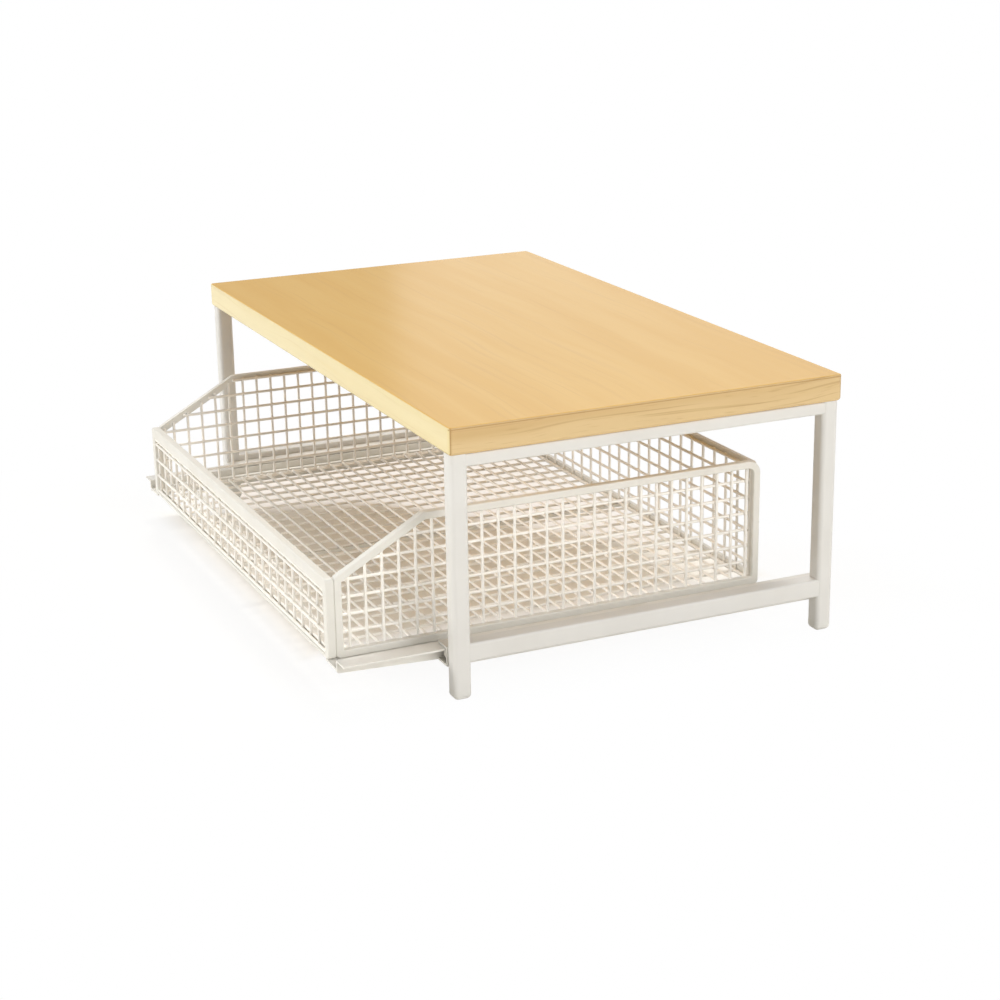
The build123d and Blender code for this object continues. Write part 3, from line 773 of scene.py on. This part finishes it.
# %% Wire walls and floor
WIRE_RADIUS = 0.0009
LAYER_GAP = 0.0013
EDGE_GAP = 0.0032
POST_GAP = 0.0064
WELD_RADIUS = 0.0014
NEAR = 0.00001
SIDE_COLUMNS = 25
CROSS_COLUMNS = 24
SIDE_ROWS = 7
FRONT_ROWS = 3
FLOOR_ROWS = 28

ALONG_SIDE = Matrix(((0, 0, 1, 0), (1, 0, 0, 0), (0, 1, 0, 0), (0, 0, 0, 1)))
ALONG_FRONT = Matrix(((1, 0, 0, 0), (0, 0, -1, 0), (0, 1, 0, 0), (0, 0, 0, 1)))


def add_panel(name, nodes, size, cells, gap, place, edge_gaps=(0.0, 0.0, 0.0), slope=None):
    """One wire panel that stands for one or more flat sheets; a level one has its posts at full height."""
    width, height = size
    post, run = slope or (height, width)
    piece = grow(name, panel_tree, {
        "Width": width, "Height": height, "Columns": cells[0], "Rows": cells[1], "Layer Gap": gap,
        "Left Gap": edge_gaps[0], "Right Gap": edge_gaps[1], "Top Gap": edge_gaps[2], "Post Height": post,
        "Slope Run": run, "Wire Radius": WIRE_RADIUS, "Weld Radius": WELD_RADIUS,
        "Finish": finishes["mesh_paint"]}, place)
    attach(piece, "drawer")
    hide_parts(*nodes)


for side, inward in (("left", 1), ("right", -1)):
    node = side + "_side_mesh"
    low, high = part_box(node)
    corners = [vertex.co for vertex in frame["nodes"][node].data.vertices]
    post = max(c.z for c in corners if c.y < low.y + NEAR) - low.z
    run = min(c.y for c in corners if c.z > high.z - NEAR) - low.y
    place = Matrix.Translation(((low.x + high.x) / 2, low.y, low.z)) @ ALONG_SIDE
    add_panel(side + "_side_wires", [node], (high.y - low.y, high.z - low.z), (SIDE_COLUMNS, SIDE_ROWS),
              inward * LAYER_GAP, place, (POST_GAP, EDGE_GAP, 0.0), (post, run))

for end, rows, top_gap in (("front", FRONT_ROWS, EDGE_GAP), ("back", SIDE_ROWS, 0.0)):
    node = end + "_mesh"
    low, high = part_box(node)
    place = Matrix.Translation((low.x, (low.y + high.y) / 2, low.z)) @ ALONG_FRONT
    add_panel(end + "_wires", [node], (high.x - low.x, high.z - low.z), (CROSS_COLUMNS, rows), LAYER_GAP,
              place, (0.0, 0.0, top_gap))

low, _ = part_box("left_floor_mesh")
_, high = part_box("right_floor_mesh")
place = Matrix.Translation((low.x, low.y, (low.z + high.z) / 2))
add_panel("floor_wires", ["left_floor_mesh", "right_floor_mesh"], (high.x - low.x, high.y - low.y),
          (CROSS_COLUMNS, FLOOR_ROWS), LAYER_GAP, place)

# %% [markdown]
# ## Screws, rivets and axles
# The solid model has a plain headed pin for each fastener. Real ones have domed heads, and the screws a cross
# recess. Each is turned from its profile, as on a lathe: rings of points about Z, joined by faces, with a
# pole at both ends so that the shape is closed. The recess is two crossed bars.

# %% Turn a closed shape
TURN_STEPS = 20


def mesh_of(name, shape):
    """Turn an editable shape into a mesh."""
    mesh = bpy.data.meshes.new(name)
    shape.to_mesh(mesh)
    shape.free()
    return mesh


def turned(name, rings, bottom, top):
    """A closed shape turned about Z from its rings of radius and height."""
    shape = bmesh.new()
    angles = [2 * math.pi * index / TURN_STEPS for index in range(TURN_STEPS)]
    loops = []
    for radius, height in rings:
        loops.append([shape.verts.new((radius * math.cos(a), radius * math.sin(a), height)) for a in angles])
    for lower, upper in zip(loops, loops[1:]):
        for index in range(TURN_STEPS):
            following = (index + 1) % TURN_STEPS
            shape.faces.new((lower[index], lower[following], upper[following], upper[index]))
    for loop, pole_height, turn in ((loops[0], bottom, -1), (loops[-1], top, 1)):
        pole = shape.verts.new((0, 0, pole_height))
        for index in range(TURN_STEPS):
            pair = (loop[index], loop[(index + 1) % TURN_STEPS])
            shape.faces.new((*pair[::turn], pole))
    return mesh_of(name, shape)


def cross_cutter(reach, width, bottom, top):
    """Two crossed bars that cut a recess into a screw's head."""
    shape = bmesh.new()
    for size in ((reach, width), (width, reach)):
        made = bmesh.ops.create_cube(shape, size=1.0)["verts"]
        bmesh.ops.scale(shape, vec=(2 * size[0], 2 * size[1], top - bottom), verts=made)
        bmesh.ops.translate(shape, vec=(0, 0, (top + bottom) / 2), verts=made)
    return mesh_of("recess_cutter", shape)


print("helpers: mesh_of, turned, cross_cutter")

# %% [markdown]
# ## One fastener of each kind
# The sizes follow the pins of the solid model, and the dome is a list of shares of the head's radius and
# height. A Boolean cuts the recess, and its result is copied to a plain mesh, so that no modifier is left.

# %% One fastener of each kind
FASTENERS = {
    "board_screws": {"body": "stand", "head": 0.0030, "cap": 0.0018, "shank": 0.0018, "recess": 0.0011},
    "runner_screws": {"body": "stand", "head": 0.0017, "cap": 0.0008, "shank": 0.0010, "recess": 0.0005},
    "runner_rivets": {"body": "drawer", "head": 0.0020, "cap": 0.0010, "shank": 0.0011, "recess": 0},
    "front_roller_axles": {"body": "stand", "head": 0.0024, "cap": 0.0008, "shank": 0.0015, "recess": 0},
    "rear_roller_axles": {"body": "drawer", "head": 0.0024, "cap": 0.0008, "shank": 0.0015, "recess": 0},
}
DOME_SHARES = ((1.0, 0.0), (1.0, 0.30), (0.92, 0.62), (0.72, 0.86), (0.40, 0.97))
TIP_SHARE = 0.5
RECESS_WIDTH_SHARE = 0.22
RECESS_REACH_SHARE = 0.60


def fastener_pattern(name, length, size):
    """One fastener with its seat at the origin and its head towards +Z."""
    head, cap, shank, recess = (size[key] for key in ("head", "cap", "shank", "recess"))
    rings = [(shank * TIP_SHARE, -length), (shank, -length + shank), (shank, 0.0)]
    rings += [(head * across, cap * height) for across, height in DOME_SHARES]
    pattern = add_object(name + "_pattern", turned(name, rings, -length, cap))
    if recess:
        bars = cross_cutter(head * RECESS_REACH_SHARE, head * RECESS_WIDTH_SHARE, cap - recess, 2 * cap)
        cutter = add_object("recess_cutter", bars)
        cut = pattern.modifiers.new("recess", "BOOLEAN")
        cut.object = cutter
        cut.solver = "EXACT"
        cut.use_self = True
        cut_mesh = plain_copy(pattern)
        pattern.modifiers.clear()
        pattern.data = cut_mesh
        bpy.data.objects.remove(cutter)
    return pattern


print("kinds of fastener:", ", ".join(FASTENERS))

# %% [markdown]
# ## Copies on points
# A second small tree sets a copy of a pattern on every point it is given. Each point carries the direction
# that its head faces, as a named attribute, and the tree turns the copy to it.

# %% Geometry Nodes tree: fasteners on points
def make_fastener_tree():
    """A copy of a pattern on each point, turned to the point's outward direction."""
    tree, given, out = open_group(
        "fasteners_on_points", "GeometryNodeTree",
        [("Geometry", "NodeSocketGeometry"), ("Pattern", "NodeSocketObject"),
         ("Finish", "NodeSocketMaterial")],
        [("Geometry", "NodeSocketGeometry")])
    pattern = add_node(tree, "GeometryNodeObjectInfo", {"Object": given["Pattern"]}).outputs["Geometry"]
    outward = add_node(tree, "GeometryNodeInputNamedAttribute", {"Name": "outward"}, data_type="FLOAT_VECTOR")
    turn = add_node(tree, "FunctionNodeAlignRotationToVector", {"Vector": outward.outputs["Attribute"]},
                    axis="Z")
    copies = add_node(tree, "GeometryNodeInstanceOnPoints", {
        "Points": given["Geometry"], "Instance": pattern, "Rotation": turn.outputs[0]})
    finished(tree, (copies,), given["Finish"], out)
    return tree


fastener_tree = make_fastener_tree()
print("tree", fastener_tree.name)

# %% [markdown]
# ## Where the fasteners sit
# One node of the solid model holds all the pins of a kind. Points that are joined by edges belong to one pin,
# so walking along the edges parts the pins, and each gives a box. The heads face down under the board and
# under the drawer's runners, and sideways on the screws of the fixed runners and on the axles.

# %% Find the pins
def solid_boxes(node):
    """The lowest and highest corner of each separate solid in a node."""
    shape = bmesh.new()
    shape.from_mesh(frame["nodes"][node].data)
    bmesh.ops.remove_doubles(shape, verts=shape.verts, dist=NEAR)
    waiting = set(shape.verts)
    boxes = []
    while waiting:
        group, edge = set(), [waiting.pop()]
        while edge:
            vertex = edge.pop()
            group.add(vertex)
            for link in vertex.link_edges:
                other = link.other_vert(vertex)
                if other in waiting:
                    waiting.remove(other)
                    edge.append(other)
        places = [vertex.co for vertex in group]
        boxes.append((Vector(min(p[i] for p in places) for i in range(3)),
                      Vector(max(p[i] for p in places) for i in range(3))))
    shape.free()
    return boxes


def outward_of(node, middle):
    """Which way the head of a fastener points."""
    across = math.copysign(1, middle.x)
    ways = {"runner_screws": (-across, 0, 0), "front_roller_axles": (-across, 0, 0),
            "rear_roller_axles": (across, 0, 0)}
    return Vector(ways.get(node, (0, 0, -1)))


print("pins:", {node: len(solid_boxes(node)) for node in FASTENERS})

# %% [markdown]
# ## Set the fasteners
# Each head keeps the end of its pin, and the shank takes up the rest of the length. All fasteners of a kind
# are one piece, which rides on the body of the pins that it replaces.

# %% Set the fasteners
for node, size in FASTENERS.items():
    seats, directions, lengths = [], [], []
    for low, high in solid_boxes(node):
        middle = (low + high) / 2
        outward = outward_of(node, middle)
        whole_length = abs((high - low).dot(outward))
        seats.append(middle + outward * (whole_length / 2 - size["cap"]))
        directions.append(outward)
        lengths.append(whole_length - size["cap"])
    points = bpy.data.meshes.new(node + "_points")
    points.from_pydata(seats, [], [])
    arrows = points.attributes.new("outward", "FLOAT_VECTOR", "POINT")
    arrows.data.foreach_set("vector", [c for way in directions for c in way])
    pattern = fastener_pattern(node, max(lengths), size)
    piece = grow("domed_" + node, fastener_tree, {"Pattern": pattern, "Finish": finishes["screw_steel"]},
                 points=points)
    bpy.data.objects.remove(pattern)
    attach(piece, size["body"])
    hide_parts(node)
